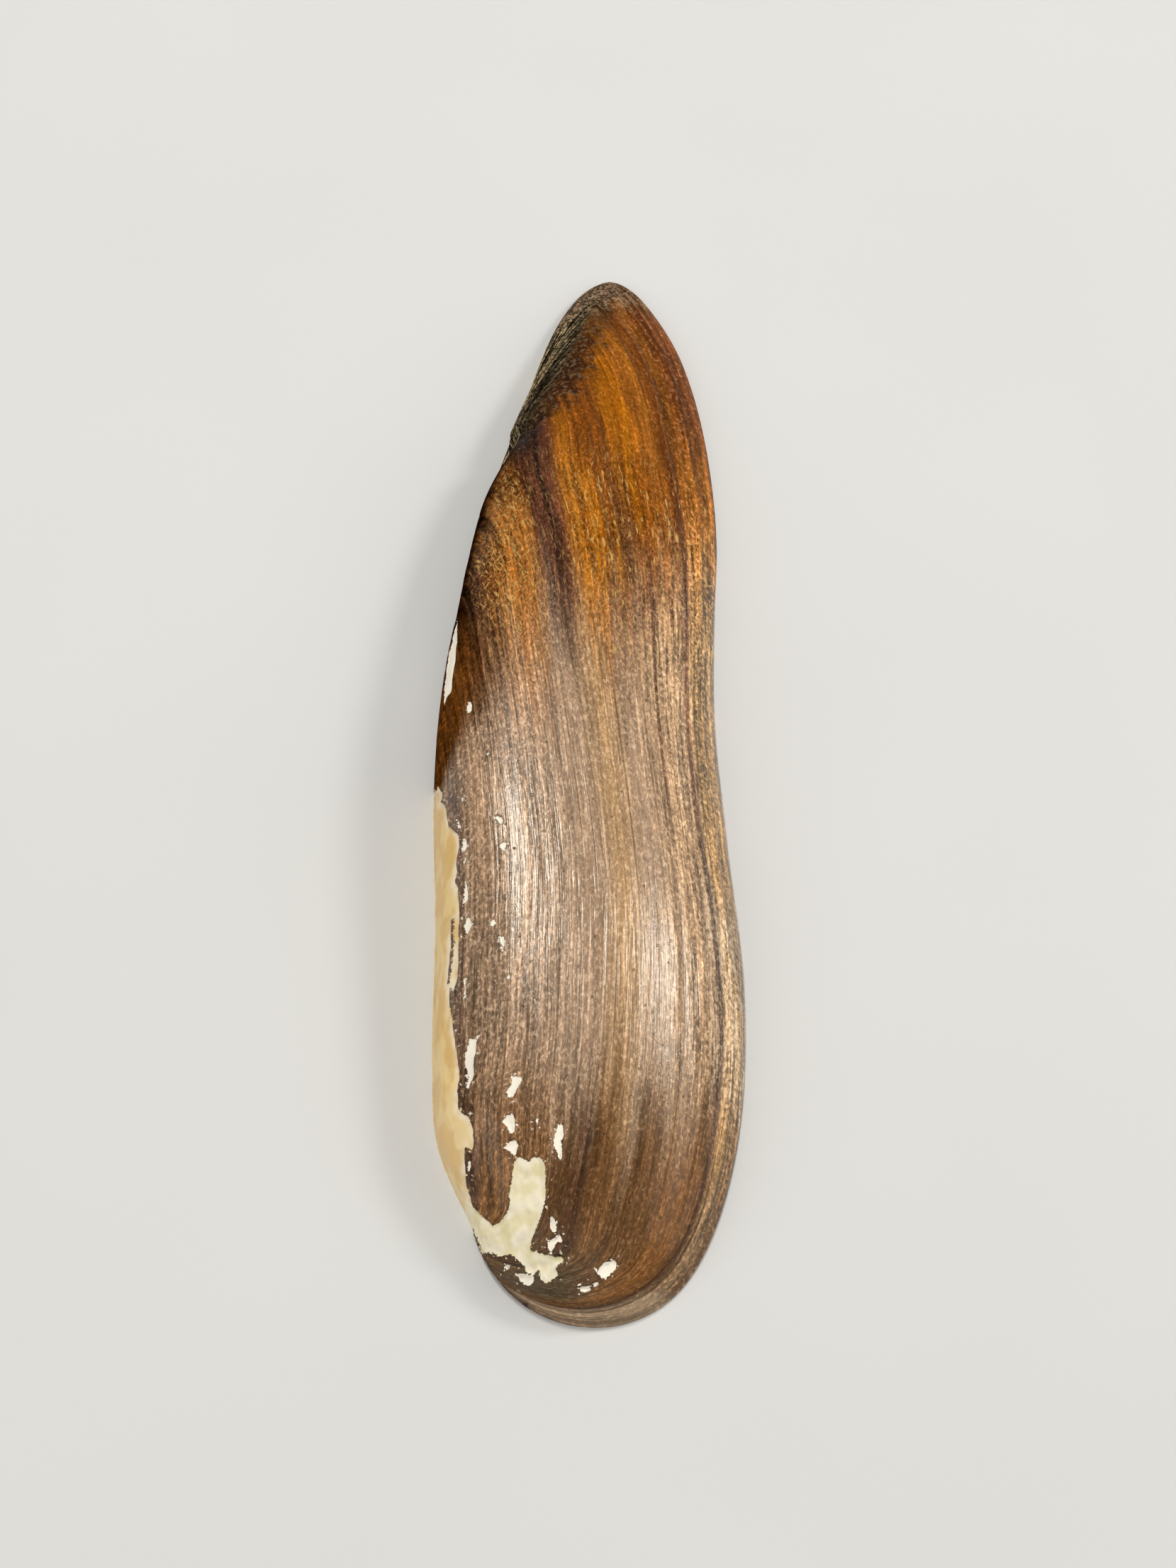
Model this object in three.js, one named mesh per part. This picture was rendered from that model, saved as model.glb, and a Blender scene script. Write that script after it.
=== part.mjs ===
// Left valve of a long, narrow freshwater mussel, lying on its margin with the outside up.
// Millimetres, +Z up. +Y runs to the pointed hind end, +X to the belly margin and -X to the hinge.
// The origin is under the middle of the valve, on the surface that it lies on.
import * as THREE from "three";
import { mergeVertices } from "three/addons/utils/BufferGeometryUtils.js";

const { clamp, lerp, smoothstep } = THREE.MathUtils;

// Driving dimensions
const LENGTH = 108; // front end to hind tip
const HEIGHT = 27.3; // hinge side to belly side, at the widest
const DEPTH = 9.4; // margin plane to the crest of the back

// Plan outline: [share of the length from the front end, share of the height from the long axis]
const HINGE_EDGE = [
  [0, 0.03], [0.03, -0.235], [0.08, -0.34], [0.14, -0.44], [0.2, -0.46], [0.32, -0.467], [0.44, -0.487],
  [0.53, -0.475], [0.62, -0.425], [0.74, -0.335], [0.84, -0.225], [0.95, -0.09], [1, 0.1],
];
const BELLY_EDGE = [
  [0, 0.03], [0.03, 0.285], [0.08, 0.395], [0.18, 0.485], [0.28, 0.5], [0.4, 0.463],
  [0.52, 0.435], [0.62, 0.445], [0.7, 0.462], [0.8, 0.44], [0.9, 0.365], [0.97, 0.24], [1, 0.1],
];

// The back, along the length: its height as a share of the depth, where its crest lies as a share of
// the way from the hinge edge to the belly edge, and how squarely its shoulder drops to the hinge edge
const CREST_HEIGHT = [
  [0, 0], [0.03, 0.4], [0.1, 0.72], [0.2, 0.9], [0.35, 1],
  [0.5, 0.98], [0.65, 0.88], [0.8, 0.66], [0.92, 0.4], [1, 0],
];
const CREST_PLACE = [[0, 0.45], [0.2, 0.4], [0.45, 0.34], [0.7, 0.25], [0.8, 0.24], [0.9, 0.31], [1, 0.4]];
const SHOULDER = [[0, 2.2], [0.2, 2.6], [0.5, 3.2], [0.7, 2.4], [0.82, 1.5], [1, 1.4]];
const BELLY_FALL = 0.66; // power of the fall to the belly edge: 0.5 makes it round, 1 a plain slope

// Growth: the shell grew outwards from the beak, and each rest left a low ledge
const REST_LINES = [0.3, 0.545, 0.78, 0.93]; // shares of the growth
const LEDGE = 0.3; // drop at a rest line
const LEDGE_HALF_WIDTH = 0.03; // as a share of the growth
const HIND_GROWTH = { start: 0.5, power: 1.05 }; // share of the length where lines begin to run out behind
const FRONT_GROWTH = { start: 0.13, power: 1.5 }; // and in front
const HIND_SLOPE = [0.7, 0.85]; // shares of the length over which the hind slope parts from the hinge edge

// Wall and margin
const WALL = 1.5; // over the back
const LIP = 1.1; // flat width of the margin
const HINGE_PLATE = 2.4; // flat width of the margin along the hinge
const PLATE_WIDENS = [0.06, 0.14]; // shares of the length, in front
const PLATE_NARROWS = [0.68, 0.78]; // and behind
const END_ROUNDING = 3; // how quickly the margin turns from the ends into the sides
const SOCKETS = [[0.13, 0.2], [0.42, 0.7]]; // shares of the length where the hinge teeth leave a groove
const SOCKET_DEPTH = 0.7;
const SOCKET_RUN_OUT = 0.02; // share of the length over which a groove fades

// Facets
const STATIONS = 60; // along the length
const BACK_COLUMNS = 40;
const HOLLOW_COLUMNS = 22;
const RIM_COLUMNS = 4;
const MERGE_GAP = 1e-4; // corners nearer than this are one
const CREST_TURN = 0.5; // halfway over an arch

// A smooth function of the share of the length through [share, value] knots. It is a cubic in the
// angle whose cosine gives the share, so that an outline rounds off at both ends.
const angleOf = (share) => Math.acos(1 - 2 * clamp(share, 0, 1));
const stationShare = (station) => (1 - Math.cos((Math.PI * station) / STATIONS)) / 2;
function along(knots) {
  const angles = knots.map(([share]) => angleOf(share));
  const values = knots.map(([, value]) => value);
  const cubic = new THREE.CubicInterpolant(angles, values, 1);
  return (share) => cubic.evaluate(angleOf(share))[0];
}
const hingeEdge = along(HINGE_EDGE);
const bellyEdge = along(BELLY_EDGE);
const crestHeight = along(CREST_HEIGHT);
const crestPlace = along(CREST_PLACE);
const shoulder = along(SHOULDER);

// How far the shell had grown at a place, from 0 at the beak to 1 at the margin
function growth(share, across) {
  const hind = clamp((share - HIND_GROWTH.start) / (1 - HIND_GROWTH.start), 0, 1) ** HIND_GROWTH.power;
  const front = clamp(1 - share / FRONT_GROWTH.start, 0, 1) ** FRONT_GROWTH.power;
  const ridge = crestPlace(share) * smoothstep(share, ...HIND_SLOPE);
  const out = across < ridge ? 1 - across / ridge : (across - ridge) / (1 - ridge);
  return 1 - (1 - out) * (1 - Math.max(hind, front));
}

// Each stage of growth swells a little and drops at its rest line
function ledges(grown) {
  const passed = (line) => smoothstep(grown, line - LEDGE_HALF_WIDTH, line + LEDGE_HALF_WIDTH);
  return LEDGE * REST_LINES.reduce((height, line) => height + grown - passed(line), 0);
}

// One of the two arched surfaces, the back or the hollow under it, at a share of the length: its edges
// on the margin plane, the foot of its crest and the crest's height
function archAt(share, surface) {
  const rounding = END_ROUNDING * Math.sin(angleOf(share));
  const inset = rounding / Math.hypot(1, rounding);
  const hinge = hingeEdge(share) * HEIGHT + surface.hingeInset(share) * inset;
  const belly = bellyEdge(share) * HEIGHT - surface.inset * inset;
  const foot = new THREE.Vector3(lerp(hinge, belly, crestPlace(share)), 0, 0);
  foot.y = lerp(surface.inset, LENGTH - surface.inset, share);
  return { hinge, belly, foot, high: crestHeight(share) * surface.depth };
}

// A point of an arched surface, from the hinge edge (turn 0) over the crest to the belly edge (turn 1)
function archPoint(share, turn, surface) {
  const { hinge, belly, foot, high } = archAt(share, surface);
  const reach = Math.abs(Math.cos(Math.PI * turn));
  const fall = Math.sin(Math.PI * turn);
  const point = foot.clone();
  if (turn < CREST_TURN) {
    point.x = lerp(foot.x, hinge, reach ** (2 / shoulder(share)));
    point.z = high * fall;
  } else {
    point.x = lerp(foot.x, belly, reach);
    point.z = high * fall ** (2 * BELLY_FALL);
  }
  return point;
}

const plateShare = (share) => smoothstep(share, ...PLATE_WIDENS) - smoothstep(share, ...PLATE_NARROWS);
const BACK = { hingeInset: () => 0, inset: 0, depth: DEPTH };
const HOLLOW = {
  hingeInset: (share) => lerp(LIP, HINGE_PLATE, plateShare(share)),
  inset: LIP,
  depth: DEPTH - WALL,
};

// The back with its ledges, which stand out from the foot of the crest and fade at the margin
function backPoint(share, turn) {
  const { hinge, belly, foot } = archAt(share, BACK);
  const point = archPoint(share, turn, BACK);
  const across = belly > hinge ? clamp((point.x - hinge) / (belly - hinge), 0, 1) : 0;
  const outward = point.clone().sub(foot).normalize();
  return point.addScaledVector(outward, ledges(growth(share, across)) * Math.sin(Math.PI * turn));
}

// The groove between the hinge teeth, deepest halfway across the margin
function socket(share, across) {
  const open = SOCKETS.map(
    ([from, to]) =>
      smoothstep(share, from, from + SOCKET_RUN_OUT) * (1 - smoothstep(share, to - SOCKET_RUN_OUT, to)),
  );
  return SOCKET_DEPTH * Math.max(...open) * (1 - Math.abs(2 * across - 1));
}

// Rows of points, one row for each station
function rows(columns, pointAt) {
  return Array.from({ length: STATIONS + 1 }, (_, station) => {
    const share = stationShare(station);
    return Array.from({ length: columns + 1 }, (_, column) => pointAt(share, column / columns));
  });
}

// The triangles between rows of points. Those that an end of the shell closes up are left out.
function sheet(grid, facingDown) {
  const corners = [];
  const triangle = (a, b, c) => {
    if (Math.min(a.distanceTo(b), b.distanceTo(c), c.distanceTo(a)) < MERGE_GAP) return;
    corners.push(...(facingDown ? [a, c, b] : [a, b, c]));
  };
  for (let row = 0; row + 1 < grid.length; row += 1) {
    for (let column = 0; column + 1 < grid[row].length; column += 1) {
      const [a, b] = grid[row].slice(column, column + 2);
      const [d, c] = grid[row + 1].slice(column, column + 2);
      triangle(a, b, c);
      triangle(a, c, d);
    }
  }
  return corners;
}

function valveGeometry() {
  const back = rows(BACK_COLUMNS, backPoint);
  const hollow = rows(HOLLOW_COLUMNS, (share, turn) => archPoint(share, turn, HOLLOW));
  const rim = (end, groove) =>
    rows(RIM_COLUMNS, (share, across) => {
      const point = archPoint(share, end, BACK).lerp(archPoint(share, end, HOLLOW), across);
      point.z = groove(share, across);
      return point;
    });
  const hingeRim = rim(0, socket);
  const bellyRim = rim(1, () => 0).map((row) => row.reverse());
  const underside = [hollow, hingeRim, bellyRim].flatMap((grid) => sheet(grid, true));
  const faces = new THREE.BufferGeometry().setFromPoints([...sheet(back, false), ...underside]);
  const geometry = mergeVertices(faces, MERGE_GAP);
  geometry.computeBoundingBox();
  const middle = geometry.boundingBox.getCenter(new THREE.Vector3());
  geometry.translate(-middle.x, -middle.y, 0);
  geometry.computeVertexNormals();
  return geometry;
}

const shell = new THREE.MeshStandardMaterial({ color: 0x5a4632, roughness: 0.5, metalness: 0 });
const valve = new THREE.Mesh(valveGeometry(), shell);
valve.name = "left_valve";

const mussel = new THREE.Group();
mussel.add(valve);
export default mussel;
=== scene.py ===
"""A worn left valve of a long, narrow freshwater mussel, lying on its margin with the outside up.

The valve is four sheets of points, the back, the hollow and the two halves of the margin, joined into one
closed shell. Sizes are in metres. +Y runs to the pointed hind end, +X to the belly margin, -X to the hinge.
"""

import math
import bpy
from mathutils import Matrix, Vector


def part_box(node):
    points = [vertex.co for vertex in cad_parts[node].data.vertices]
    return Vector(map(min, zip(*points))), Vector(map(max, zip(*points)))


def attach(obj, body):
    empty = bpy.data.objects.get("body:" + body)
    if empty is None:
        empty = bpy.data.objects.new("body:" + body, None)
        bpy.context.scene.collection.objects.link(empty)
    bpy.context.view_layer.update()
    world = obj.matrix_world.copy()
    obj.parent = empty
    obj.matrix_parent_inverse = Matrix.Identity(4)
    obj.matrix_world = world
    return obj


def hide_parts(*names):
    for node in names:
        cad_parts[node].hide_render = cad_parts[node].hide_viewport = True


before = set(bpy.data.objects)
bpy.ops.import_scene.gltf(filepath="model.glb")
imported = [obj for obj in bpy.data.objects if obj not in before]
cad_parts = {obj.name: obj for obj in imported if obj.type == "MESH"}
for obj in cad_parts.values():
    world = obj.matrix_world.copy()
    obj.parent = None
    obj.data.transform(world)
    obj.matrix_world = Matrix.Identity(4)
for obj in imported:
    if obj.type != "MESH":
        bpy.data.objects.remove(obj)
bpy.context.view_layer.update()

from types import SimpleNamespace

import bpy
import numpy as np
from bpy.props import FloatProperty, FloatVectorProperty, IntProperty, PointerProperty
from mathutils import Euler, Matrix, Vector

bl_info = {
    "name": "Freshwater Mussel Valve",
    "version": (1, 0, 0),
    "blender": (4, 5, 0),
    "location": "View3D > Sidebar > Mussel",
    "description": "Models a worn left valve of a long freshwater mussel with its skin, bare patches and lining",
    "category": "Add Mesh",
}

MM = 0.001
NODE = "left_valve"
LOW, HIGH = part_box(NODE)
SEED = 7
TINY = 1e-9

# Plan outline: (share of the length from the front end, share of the height from the long axis)
HINGE_EDGE = (
    (0, 0.03), (0.03, -0.235), (0.08, -0.34), (0.14, -0.44), (0.2, -0.46), (0.32, -0.467), (0.44, -0.487),
    (0.53, -0.475), (0.62, -0.425), (0.74, -0.335), (0.84, -0.225), (0.95, -0.09), (1, 0.1),
)
BELLY_EDGE = (
    (0, 0.03), (0.03, 0.285), (0.08, 0.395), (0.18, 0.485), (0.28, 0.5), (0.4, 0.463),
    (0.52, 0.435), (0.62, 0.445), (0.7, 0.462), (0.8, 0.44), (0.9, 0.365), (0.97, 0.24), (1, 0.1),
)

# The back, along the length: its height as a share of the depth, where its crest lies as a share of the way
# from the hinge edge to the belly edge, and how squarely its shoulder drops to the hinge edge
CREST_HEIGHT = (
    (0, 0), (0.03, 0.4), (0.1, 0.72), (0.2, 0.9), (0.35, 1),
    (0.5, 0.98), (0.65, 0.88), (0.8, 0.66), (0.92, 0.4), (1, 0),
)
CREST_PLACE = ((0, 0.45), (0.2, 0.4), (0.45, 0.34), (0.7, 0.25), (0.8, 0.24), (0.9, 0.31), (1, 0.4))
SHOULDER = ((0, 2.2), (0.2, 2.6), (0.5, 3.2), (0.7, 2.4), (0.82, 1.5), (1, 1.4))
BELLY_FALL = 0.66  # power of the fall to the belly edge: 0.5 makes it round, 1 a plain slope
CREST_TURN = 0.5  # halfway over an arch

# Growth: where the hind ridge begins, how it moves from the hinge edge to its place across the tip, the
# growth reached on it or on the hinge edge, and where two rest lines lie from there to the belly margin
RIDGE_START = 0.72  # share of the length
RIDGE_END = 0.4  # share of the way across
RIDGE_EASE = 0.1  # how gently it leaves the hinge edge
RIDGE_ROUNDING = 0.05  # share of the growth over which a line rounds the hind ridge
ROUNDED_RIDGE = 0.1  # share of the way across where that rounding is full
SLOPE_PARTS = (0.62, 0.76)  # shares of the length over which the hind slope parts from the hinge edge
RIDGE_GROWTH = (
    (0, 0.12), (0.075, 0.12), (0.14, 0.03), (0.2, 0), (0.35, 0), (0.45, 0.02), (0.55, 0.1), (0.62, 0.2),
    (0.68, 0.31), (0.73, 0.42), (0.78, 0.54), (0.88, 0.76), (1, 1),
)
DARK_LINE, THIN_LINE, RED_LINE = 0.54, 0.8, 0.91
DARK_PLACE = (
    (0, 0.5), (0.04, 0.49), (0.055, 0.435), (0.075, 0.41), (0.1, 0.447), (0.12, 0.483), (0.15, 0.5),
    (0.25, 0.52), (0.4, 0.52), (0.5, 0.475), (0.58, 0.405), (0.65, 0.33), (0.7, 0.247), (0.74, 0.15),
    (0.78, 0.02), (1, 0),
)
RED_PLACE = (
    (0, 0.88), (0.1, 0.895), (0.17, 0.903), (0.3, 0.888), (0.45, 0.876), (0.58, 0.881), (0.65, 0.86),
    (0.7, 0.823), (0.75, 0.77), (0.8, 0.705), (0.85, 0.63), (0.9, 0.48), (0.955, 0.1), (1, 0),
)
LINE_GAP = 0.01  # least distance between the lines, as a share of the way across
BEAK = 0.075  # share of the length: the growth lines turn round it
FAN = (0.02, 0.13)  # shares of the length over which the turning lines pass into the lines along the back
FAN_REACH = 0.45  # share of the length up to which rays from the beak are followed
BESIDE_BEAK = 4  # points of the margin that lie too near the beak for a ray

# Relief of the back. A zone of four numbers says where something begins, is full, begins to fade and is gone.
LEDGES = (  # share of the growth, drop in millimetres
    (0.16, 0.08), (0.3, 0.1), (0.41, 0.06), (DARK_LINE, 0.26), (0.66, 0.07), (0.78, 0.1), (0.86, 0.06),
    (RED_LINE, 0.24), (0.96, 0.08),
)
LEDGE_BEFORE, LEDGE_AFTER = 0.006, 0.010  # shares of the growth over which a ledge drops
SMOOTHED = (0.1, 0.2, 0.5, 0.68)  # shares of the length where the ledges are low
DARK_NOTCH = (0.69, 0.76, 0.78, 0.85)  # and where the dark line's ledge is deep
LOW_IN_FRONT = (0.2, 0.12)
SKIN_WAVES = ((0.022, 34, 9), (0.012, 64, 16))  # height in millimetres, cells over the growth and the length
CRUMPLE = 0.06 * MM  # of the hind slope
NICK = (0.71, 0.79, 0.79, 0.802)  # shares of the length where the hinge edge draws in
NICK_DEPTH = 0.9 * MM
FLAKE_DEPTH = 0.13 * MM  # floor of a bare patch below the skin
STRIP_DEPTH = 1.3  # the strip's floor, in flake depths
STRIP_KIND = 0.75  # least kind of a point of the strip
FLAKE_LUMPS, STRIP_LUMPS = 0.09 * MM, 0.015 * MM
LUMP_CELLS = ((1.0, 120, 32), (0.5, 240, 64))
LIFTED_EDGE = (-0.02, 0.05, 0.05, 0.30)  # millimetres from a bare patch where the skin stands up
LIFT = 0.035 * MM
FLAT_MARGIN = 0.6 * MM  # height over which the relief fades in above the margin

# Bare patches, in millimetres from the middle of the valve. Strip and sliver lie along the hinge edge.
STRIP = (
    (-20, -9.4), (-13.1, -9.5), (-12.7, -10.0), (-12.7, -10.7), (-12.9, -10.9), (-12.5, -11.3),
    (-12.2, -12.6), (-12.1, -13.4), (-11.8, -13.7), (-11.2, -14.2), (-11.1, -15.4), (-11.3, -16.6),
    (-11.2, -17.7), (-11.4, -18.4), (-11.1, -19.1), (-10.9, -21.6), (-10.9, -27.2), (-11.2, -28.1),
    (-11.5, -27.4), (-11.5, -28.6), (-11.2, -30.8), (-10.9, -32.6), (-10.6, -34.0), (-10.5, -35.5),
    (-10.6, -36.6), (-10.5, -37.9), (-10.2, -38.4), (-9.6, -38.9), (-9.2, -40.0), (-9.1, -41.1),
    (-9.3, -41.6), (-9.6, -41.1), (-9.9, -40.9), (-9.8, -42.3), (-9.6, -43.7), (-9.3, -44.5),
    (-9.1, -45.6), (-20, -45.6),
)
SLIVER = (
    (-20, 12.6), (-11.8, 12.4), (-11.9, 9.3), (-11.8, 6.9), (-11.9, 5.2), (-12.0, 3.3), (-12.2, 1.8),
    (-12.2, 0.8), (-12.9, 0.4), (-13.4, -0.4), (-20, -0.4),
)
# Beside the strip the outer skin has peeled off a darker one
PEELED = (
    (-20, -9.0), (-11.7, -9.6), (-11.1, -11.5), (-10.7, -14.0), (-10.55, -19.0), (-10.5, -23.0),
    (-10.4, -28.0), (-10.2, -31.5), (-9.9, -34.0), (-9.8, -36.5), (-9.3, -38.5), (-8.7, -41.0),
    (-8.4, -43.5), (-8.6, -46.0), (-20, -46.0),
)
BEAK_PATCH = (
    (-11, -44.6), (-9.3, -44.4), (-9.0, -45.1), (-8.5, -45.9), (-7.4, -47.0), (-6.9, -46.9), (-6.3, -46.2),
    (-6.2, -45.7), (-6.4, -45.2), (-6.1, -44.5), (-5.9, -42.8), (-5.6, -42.6), (-4.9, -42.9), (-4.5, -42.6),
    (-3.9, -42.6), (-3.5, -43.3), (-3.5, -44.3), (-3.6, -45.9), (-3.9, -47.2), (-4.5, -48.5), (-4.5, -49.1),
    (-3.4, -49.5), (-1.9, -49.8), (-2.0, -50.1), (-2.7, -50.4), (-2.4, -50.9), (-3.3, -51.4), (-3.7, -51.1),
    (-3.9, -50.5), (-4.2, -50.8), (-4.6, -50.6), (-5.1, -50.0), (-6.1, -49.2), (-6.8, -49.2), (-8.0, -48.3),
    (-8.6, -47.2), (-9.1, -46.2), (-11, -46.0),
)
FLAKES = (
    ((-6.4, -36.2), (-5.5, -36.4), (-6.0, -37.5), (-6.2, -37.9), (-6.5, -37.9), (-6.7, -37.5), (-6.3, -36.7)),
    ((-7.1, -39.7), (-6.7, -39.3), (-6.2, -39.2), (-6.0, -39.7), (-6.0, -40.5), (-6.3, -40.7), (-6.6, -40.1)),
    ((-6.8, -41.7), (-6.0, -41.1), (-5.7, -41.6), (-5.9, -42.4), (-6.2, -42.2)),
    ((-2.6, -40.1), (-2.3, -40.2), (-2.2, -40.8), (-2.4, -41.4), (-2.3, -42.8), (-2.5, -43.0), (-2.7, -42.1),
     (-3.0, -41.8), (-2.9, -40.8)),
    ((-9.8, -32.6), (-9.2, -32.8), (-9.2, -33.9), (-9.4, -34.6), (-9.3, -35.7), (-9.8, -36.9), (-9.9, -36.2),
     (-9.7, -35.5), (-10.0, -34.8), (-10.0, -33.8)),
    ((0.6, -50.7), (1.0, -50.1), (2.0, -49.8), (2.1, -50.2), (1.6, -50.9), (1.0, -51.1)),
    ((-0.8, -51.7), (0.2, -51.6), (0.1, -51.9), (-0.4, -52.0)),
    ((-3.1, -46.9), (-2.8, -47.0), (-2.6, -47.5), (-2.6, -48.0), (-2.9, -48.0), (-3.1, -47.6)),
    ((-2.7, -48.4), (-2.3, -48.1), (-2.1, -48.7), (-2.6, -48.7), (-2.9, -49.5), (-3.2, -49.2), (-3.2, -48.6)),
    ((-5.6, -50.5), (-5.3, -50.5), (-4.2, -50.9), (-4.2, -51.3), (-4.5, -51.4), (-5.1, -51.1)),
    ((-8.3, -13.5), (-8.0, -13.5), (-7.5, -13.9), (-7.5, -14.3), (-7.7, -14.4)),
    ((-7.8, -16.3), (-7.5, -16.1), (-7.2, -16.1), (-7.2, -16.6), (-7.5, -17.0)),
    ((-11.3, -12.8), (-10.8, -14.1), (-11.2, -13.7)),
    ((-10.8, -14.8), (-10.5, -15.0), (-10.4, -15.7), (-10.6, -16.1), (-10.9, -15.9)),
    ((-10.5, -18.8), (-10.4, -18.8), (-10.2, -20.5), (-10.4, -20.7), (-10.6, -20.5)),
    ((-10.4, -22.1), (-10.1, -22.1), (-9.8, -22.9), (-10.2, -23.6), (-10.5, -22.8)),
    ((-7.7, -24.5), (-7.3, -24.5), (-7.1, -25.0), (-7.2, -25.6)),
    ((-10.4, -27.3), (-10.2, -27.4), (-10.1, -29.2), (-10.3, -29.0)),
)
# Dots: (x, y, width, length)
DOTS = (
    (-10.6, -2.4, 0.45, 1.1), (-8.1, -23.2, 0.4, 0.55), (-6.8, -28.0, 0.26, 0.4), (-10.6, -16.9, 0.22, 0.6),
    (0.55, -51.5, 0.4, 0.3), (-10.9, -11.2, 0.18, 0.5), (-8.9, -7.5, 0.2, 0.35), (-4.3, -39.9, 0.22, 0.4),
    (-9.4, -42.4, 0.22, 0.55), (-6.2, -50.0, 0.4, 0.3),
)
# A line of skin left in the strip
CRACK = ((-11.5, -21.6), (-11.4, -23.8), (-11.6, -27.0))
CRACK_WIDTH = 0.26
RAGGED = ((0.08, 260, 70), (0.1, 110, 30))  # reach in millimetres, cells along the length and across
HINGE_WALL = 0.2  # share of the way over the back where the steep wall along the hinge ends
STRIP_HIND = (0.3, 0.4)  # shares of the length over which the strip's hind end runs down that wall
STRIP_RUN, STRIP_WAVER = 3.0, 0.6  # how far back it runs there, and by how much that wavers
SLIVER_STEEPNESS, SLIVER_WAVER = 30, 0.5
REACH = 2  # millimetres past which the distance to a patch no longer matters

# Grains along the growth lines: width and length in millimetres, detail, roughness, shift, distortion
FLECK = (0.24, 0.42, 2.0, 0.6, 0.0, 0.7)
HAIR = (0.2, 4.0, 1.0, 0.6, 11.0, 0.2)
FINE = (0.26, 6.5, 2.0, 0.65)
MIDDLE = (0.6, 16.0, 2.0, 0.55)
BROAD = (2.0, 40.0, 2.0, 0.5)
GLOW = (0.9, 20.0, 2.0, 0.6, 17.0)
DARK_LINES = (0.3, 30.0, 1.0, 0.5, 7.7)
PALE_LINES = (0.26, 14.0, 1.0, 0.5, 31.3)
MARGIN_LINES = (0.3, 24.0, 2.0, 0.6, 41.0)
UPRIGHT_FIBRES = (0.18, 1.3, 2.0, 0.5, 5.1, 0.5)
LAMELLAE = (0.4, 7.0, 2.0, 0.75, 3.1, 0.3)
# Slanting fibres: turn in degrees, length and width in millimetres, shift, distortion
SLANTS = ((60, 0.9, 0.18, 0.0, 0.8), (-55, 0.8, 0.16, 4.0, 1.0))
# How strongly each grain shades the skin: its name, the darkest shade, the gain, and the span of the grain
GRAIN_SHADES = (
    ("fleck", 0.68, 0.68, 0.3, 0.75), ("fine", 0.74, 0.52, 0.25, 0.75), ("hair", 0.82, 0.36, 0.3, 0.7),
    ("middle", 0.78, 0.44, 0.25, 0.75),
)
DARKEST = 0.2  # least shade
# Values on every point of the mesh, for the materials to read
VALUES = ("grown", "share", "over", "beyond", "bare", "kind", "peeled", "edge")

# Zones of the skin, as shares of the length. Two numbers say where one begins and where it is full.
HIND_HALF = (0.46, 0.66)
FAR_HIND = (0.7, 0.77)
FRONT_END = (0.23, 0.1)
NEAR_FRONT = (0.24, 0.12)
FRONT_LINE = (0.17, 0.12)
HIGHLIGHT_ZONE = (0.14, 0.2, 0.3, 0.36)
CALM = (0.16, 0.24, 0.42, 0.5)
THIN_LINE_ZONE = (0.35, 0.42, 0.58, 0.66)
HINGE_SHADE_ZONE = (0.36, 0.5, 0.76, 0.82)
FIBRE_ZONE = (0.46, 0.58, 0.7, 0.78)
NOTCH_ZONE = (0.66, 0.72)
CREASE_ZONE = (0.725, 0.765)
TIP_ZONE = (0.905, 0.955)
# Bands of the skin, as shares of the growth
YOUNGEST = (0.9, 0.94)
GOLDEN_BAND = (0.57, 0.61, 0.65, 0.7)
RUST_BAND = (0.6, 0.64, 0.69, 0.72)
HONEY_BAND = (0.71, 0.74, 0.79, 0.83)
BROWN_BAND = (0.76, 0.82, 0.88, 0.92)


def linear(code):
    """A colour written as six hexadecimal digits, as linear red, green, blue and a full alpha."""
    parts = [int(code[i:i + 2], 16) / 255 for i in (0, 2, 4)]
    return [part / 12.92 if part <= 0.04045 else ((part + 0.055) / 1.055) ** 2.4 for part in parts] + [1.0]


def colour(name, code, description):
    """A colour property."""
    return FloatVectorProperty(
        name=name, description=description, subtype="COLOR", size=4, min=0, max=1, default=linear(code)
    )


def distance(name, size, description):
    """A length property, in metres."""
    return FloatProperty(name=name, description=description, unit="LENGTH", subtype="DISTANCE", default=size)


def angle(name, degrees, description):
    """An angle property."""
    return FloatProperty(name=name, description=description, subtype="ANGLE", default=math.radians(degrees))


class ValveSettings(bpy.types.PropertyGroup):
    """Sizes of the valve."""

    length: distance("Length", HIGH[1] - LOW[1], "Front end to hind tip")
    height: distance("Height", 27.3 * MM, "Hinge edge to belly edge, the unit of the plan outline")
    depth: distance("Depth", 9.4 * MM, "Margin plane to the crest of the back, without its ledges")
    wall: distance("Wall", 1.5 * MM, "Thickness over the back")
    lip: distance("Lip", 1.1 * MM, "Flat width of the margin")
    hinge_plate: distance("Hinge plate", 2.4 * MM, "Flat width of the margin along the hinge")
    socket: distance("Socket", 0.8 * MM, "Depth of the grooves between the hinge teeth")
    rows: IntProperty(name="Rows", description="Faces along the length", default=440)
    back_columns: IntProperty(name="Back columns", description="Faces across the back", default=170)
    hollow_columns: IntProperty(name="Hollow columns", description="Faces across the hollow", default=28)
    rim_columns: IntProperty(name="Rim columns", description="Faces across each margin", default=5)


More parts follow.
